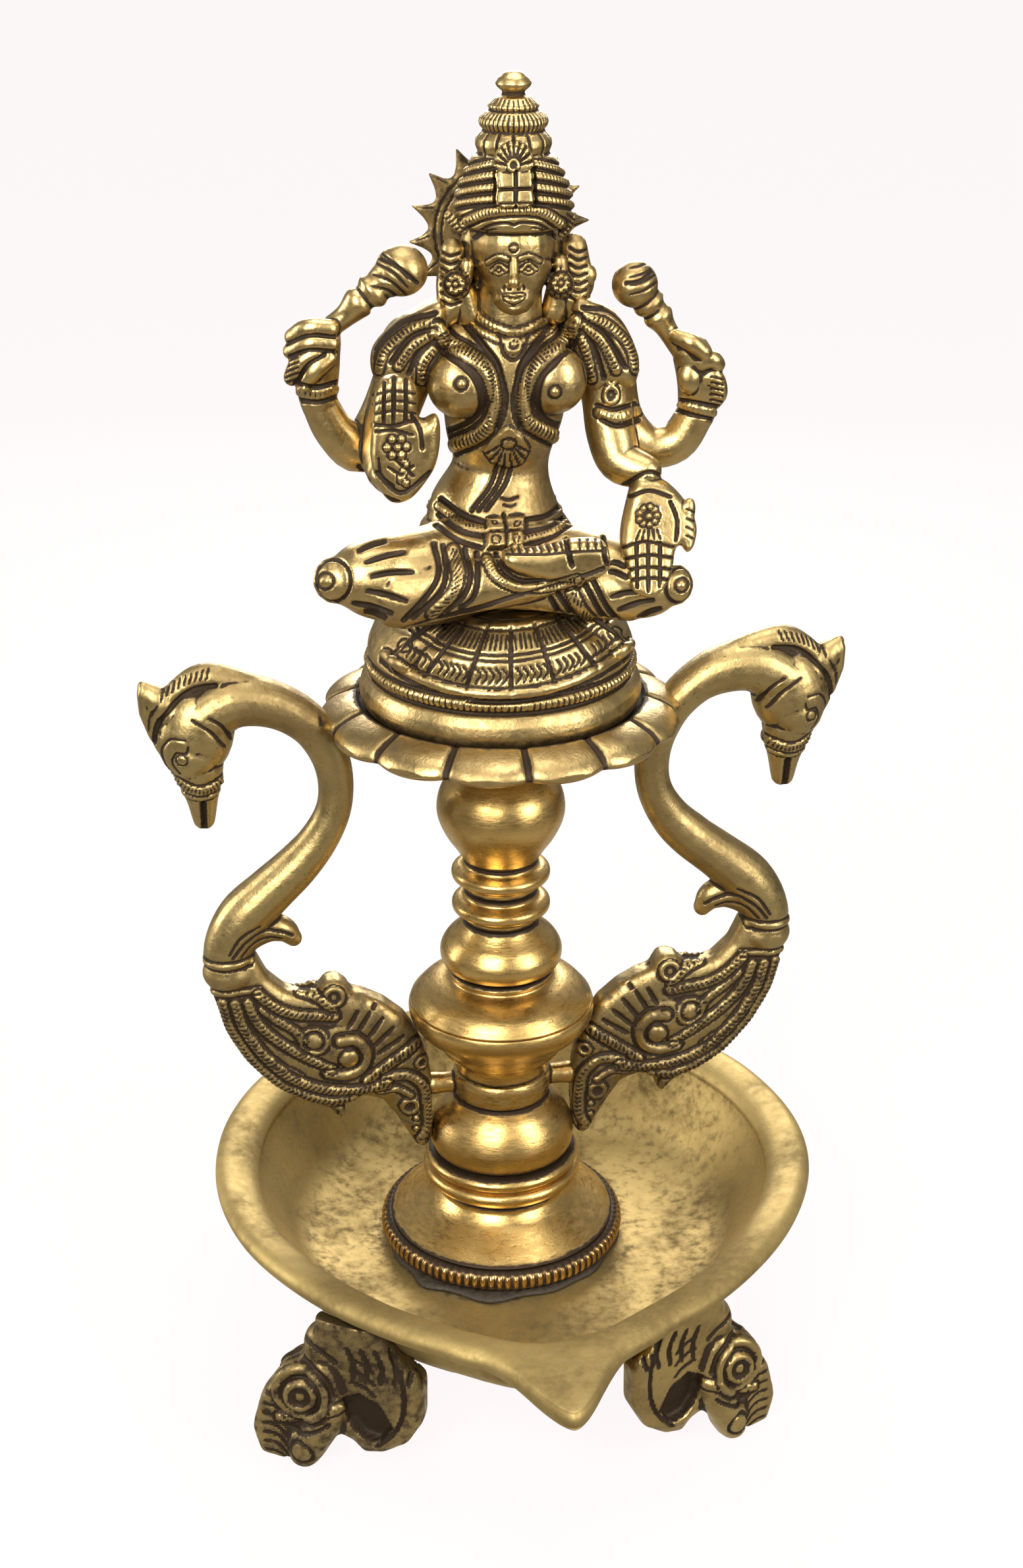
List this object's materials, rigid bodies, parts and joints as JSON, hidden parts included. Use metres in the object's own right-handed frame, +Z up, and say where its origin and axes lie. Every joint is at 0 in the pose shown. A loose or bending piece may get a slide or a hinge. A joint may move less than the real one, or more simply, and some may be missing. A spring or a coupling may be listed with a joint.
{
  "type": "standing oil lamp",
  "caption": "Cast brass standing oil lamp: a lipped bowl with a pouring spout on mask feet, a turned stem between swans, and a seated figure on a lotus plate.",
  "frame": {"origin": "middle of the lamp's outline, on the surface it stands on", "axes": "+Z up, spout towards -Y, swans towards -X and +X; the stem's axis is at x = 0, y = 0.01175"},
  "size_m": [0.1532, 0.1715, 0.2897],
  "materials": {
    "brass_bowl": "pale olive cast brass, matt, lightly stained inside",
    "brass_stem": "turned and polished brass with brown grime in the grooves",
    "brass_copper": "reddish knurled brass ring",
    "brass_swan": "cast brass with dark patina in the engraved feathers",
    "brass_figure": "cast brass, rubbed bright on the high parts, dark in the folds",
    "brass_foot": "rough cast brass with a dark olive patina",
    "steel_rod": "plain steel rod",
    "seal_putty": "black sealing putty"
  },
  "bodies": {
    "base": {"bowl": "brass_bowl", "foot_left": "brass_foot", "foot_right": "brass_foot", "foot_rear": "brass_foot", "base_washer": "brass_stem", "base_nut": "brass_stem"},
    "seal": {"seal_ring": "seal_putty"},
    "stem": {"tie_rod": "steel_rod", "knurled_ring": "brass_copper", "bell_foot": "brass_stem", "collar_ring": "brass_stem", "dome_section": "brass_stem", "bracket_collar": "brass_stem", "vase_section": "brass_stem", "pear_section": "brass_stem", "lower_ring": "brass_stem", "upper_ring": "brass_stem", "knop_section": "brass_stem", "swan_left": "brass_swan", "swan_right": "brass_swan", "swan_pin_left": "brass_stem", "swan_pin_right": "brass_stem", "lotus_plate": "brass_figure", "pedestal": "brass_figure", "figure": "brass_figure", "halo": "brass_figure", "halo_rivet": "brass_stem"}
  },
  "joints": [
    {"name": "stem_lift", "type": "slide", "parent": "base", "child": "seal", "axis": [0, 0, 1], "range_m": [0, 0.0056]},
    {"name": "stem_turn", "type": "hinge", "parent": "seal", "child": "stem", "pos_m": [0, 0.01175, 0.02], "axis": [0, 0, 1], "range_deg": [0, 1980]}
  ],
  "couplings": [
    {"joint": "stem_lift", "follows": "stem_turn", "m_per_rad": 0.00015915}
  ]
}
